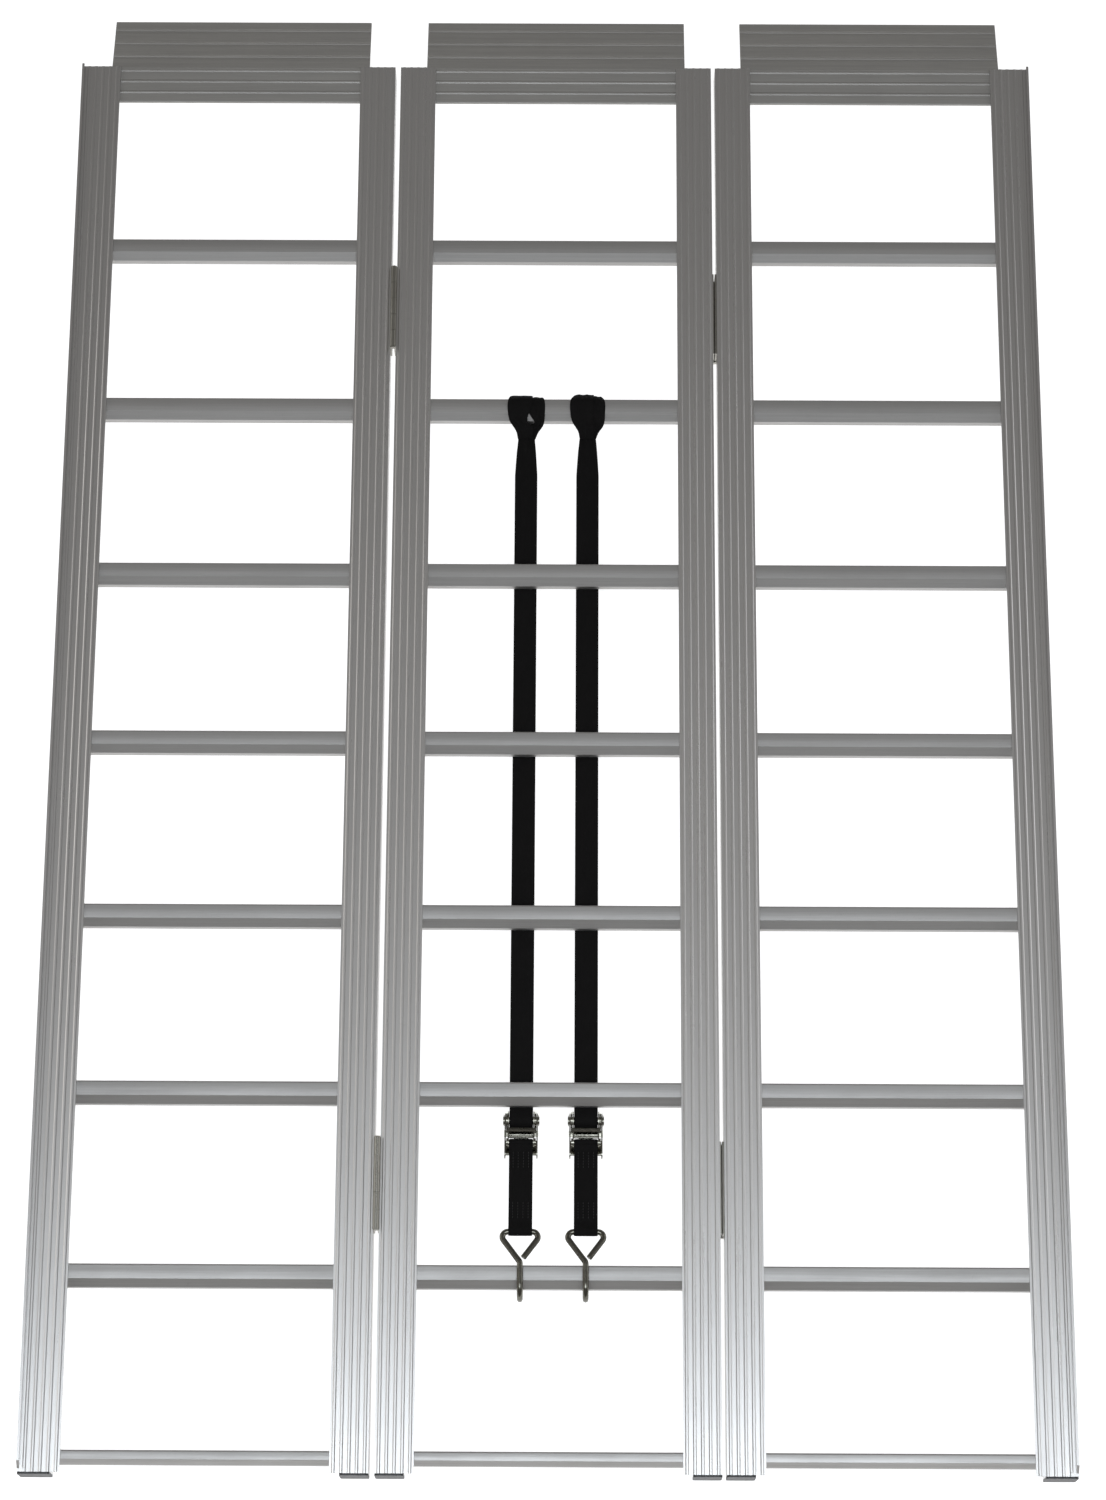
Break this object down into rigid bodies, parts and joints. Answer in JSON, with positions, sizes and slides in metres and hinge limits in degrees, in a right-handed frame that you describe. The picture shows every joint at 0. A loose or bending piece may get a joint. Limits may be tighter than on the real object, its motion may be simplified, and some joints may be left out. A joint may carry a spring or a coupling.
{
  "type": "folding loading ramp",
  "caption": "Tri-fold aluminium loading ramp: ladder panels on butt hinges, bent lip plates for a tailgate, ribbed rails with wheel guards, and ratchet straps with wire hooks.",
  "frame": {"origin": "bottom centre of the box round the open ramp, lying on its back", "axes": "+X across the three panels, +Y up the ramp towards the lip plates, +Z out of the tread"},
  "size_m": [1.27, 1.9512, 0.0557],
  "materials": {
    "rail_aluminium": "mill-finish extrusion with fine lines along it",
    "rung_aluminium": "mill-finish extrusion",
    "lip_aluminium": "mill-finish extrusion with crosswise ridges",
    "hinge_steel": "bright plated steel",
    "zinc": "zinc plated steel, slightly yellow",
    "plastic": "black moulded plastic",
    "webbing": "black woven polyester webbing"
  },
  "bodies": {
    "centre_panel": {"centre_left_rail": "rail_aluminium", "centre_right_rail": "rail_aluminium", "centre_rung_1": "rung_aluminium", "centre_rung_2": "rung_aluminium", "centre_rung_3": "rung_aluminium", "centre_rung_4": "rung_aluminium", "centre_rung_5": "rung_aluminium", "centre_rung_6": "rung_aluminium", "centre_rung_7": "rung_aluminium", "centre_rung_8": "rung_aluminium", "centre_lip_plate": "lip_aluminium", "centre_end_plugs": "plastic", "centre_hinge_leaves": "hinge_steel", "centre_hinge_rivets": "hinge_steel", "hinge_pins": "hinge_steel", "hook_webbings": "webbing", "strap_1_webbing": "webbing", "strap_1_ratchet_frame": "zinc", "strap_2_webbing": "webbing", "strap_2_ratchet_frame": "zinc"},
    "left_panel": {"left_outer_rail": "rail_aluminium", "left_inner_rail": "rail_aluminium", "left_rung_1": "rung_aluminium", "left_rung_2": "rung_aluminium", "left_rung_3": "rung_aluminium", "left_rung_4": "rung_aluminium", "left_rung_5": "rung_aluminium", "left_rung_6": "rung_aluminium", "left_rung_7": "rung_aluminium", "left_rung_8": "rung_aluminium", "left_lip_plate": "lip_aluminium", "left_end_plugs": "plastic", "left_hinge_leaves": "hinge_steel", "left_hinge_rivets": "hinge_steel"},
    "right_panel": {"right_inner_rail": "rail_aluminium", "right_outer_rail": "rail_aluminium", "right_rung_1": "rung_aluminium", "right_rung_2": "rung_aluminium", "right_rung_3": "rung_aluminium", "right_rung_4": "rung_aluminium", "right_rung_5": "rung_aluminium", "right_rung_6": "rung_aluminium", "right_rung_7": "rung_aluminium", "right_rung_8": "rung_aluminium", "right_lip_plate": "lip_aluminium", "right_end_plugs": "plastic", "right_hinge_leaves": "hinge_steel", "right_hinge_rivets": "hinge_steel"},
    "strap_1_spool": {"strap_1_spool": "zinc", "strap_1_wound_webbing": "webbing"},
    "strap_1_handle": {"strap_1_handle": "zinc"},
    "strap_1_lock_pawl": {"strap_1_lock_pawl": "zinc"},
    "strap_1_drive_pawl": {"strap_1_drive_pawl": "zinc"},
    "strap_1_hook": {"strap_1_hook": "zinc"},
    "strap_2_spool": {"strap_2_spool": "zinc", "strap_2_wound_webbing": "webbing"},
    "strap_2_handle": {"strap_2_handle": "zinc"},
    "strap_2_lock_pawl": {"strap_2_lock_pawl": "zinc"},
    "strap_2_drive_pawl": {"strap_2_drive_pawl": "zinc"},
    "strap_2_hook": {"strap_2_hook": "zinc"}
  },
  "joints": [
    {"name": "left_fold", "type": "hinge", "parent": "centre_panel", "child": "left_panel", "pos_m": [-0.21088, 0, 0.05155], "axis": [0, 1, 0], "range_deg": [0, 180]},
    {"name": "right_fold", "type": "hinge", "parent": "centre_panel", "child": "right_panel", "pos_m": [0.21188, 0, 0.0042], "axis": [0, 1, 0], "range_deg": [0, 180]},
    {"name": "strap_1_spool_turn", "type": "hinge", "parent": "centre_panel", "child": "strap_1_spool", "pos_m": [-0.035, -0.53712, 0.0134], "axis": [1, 0, 0], "continuous": true},
    {"name": "strap_1_handle_fold", "type": "hinge", "parent": "centre_panel", "child": "strap_1_handle", "pos_m": [-0.035, -0.53712, 0.0134], "axis": [-1, 0, 0], "range_deg": [-150, 0]},
    {"name": "strap_1_lock_slide", "type": "slide", "parent": "centre_panel", "child": "strap_1_lock_pawl", "axis": [0, -0.9047, 0.4261], "range_m": [0, 0.003], "stiffness_N_per_m": 400, "springref_m": -0.003},
    {"name": "strap_1_drive_slide", "type": "slide", "parent": "strap_1_handle", "child": "strap_1_drive_pawl", "axis": [0, -0.9752, -0.2212], "range_m": [0, 0.003], "stiffness_N_per_m": 400, "springref_m": -0.003},
    {"name": "strap_1_hook_swing", "type": "hinge", "parent": "centre_panel", "child": "strap_1_hook", "pos_m": [-0.035, -0.68072, 0.0426], "axis": [-1, 0, 0], "range_deg": [0, 3]},
    {"name": "strap_2_spool_turn", "type": "hinge", "parent": "centre_panel", "child": "strap_2_spool", "pos_m": [0.045, -0.53712, 0.0134], "axis": [1, 0, 0], "continuous": true},
    {"name": "strap_2_handle_fold", "type": "hinge", "parent": "centre_panel", "child": "strap_2_handle", "pos_m": [0.045, -0.53712, 0.0134], "axis": [-1, 0, 0], "range_deg": [-150, 0]},
    {"name": "strap_2_lock_slide", "type": "slide", "parent": "centre_panel", "child": "strap_2_lock_pawl", "axis": [0, -0.9047, 0.4261], "range_m": [0, 0.003], "stiffness_N_per_m": 400, "springref_m": -0.003},
    {"name": "strap_2_drive_slide", "type": "slide", "parent": "strap_2_handle", "child": "strap_2_drive_pawl", "axis": [0, -0.9752, -0.2212], "range_m": [0, 0.003], "stiffness_N_per_m": 400, "springref_m": -0.003},
    {"name": "strap_2_hook_swing", "type": "hinge", "parent": "centre_panel", "child": "strap_2_hook", "pos_m": [0.045, -0.68072, 0.0426], "axis": [-1, 0, 0], "range_deg": [0, 3]}
  ]
}
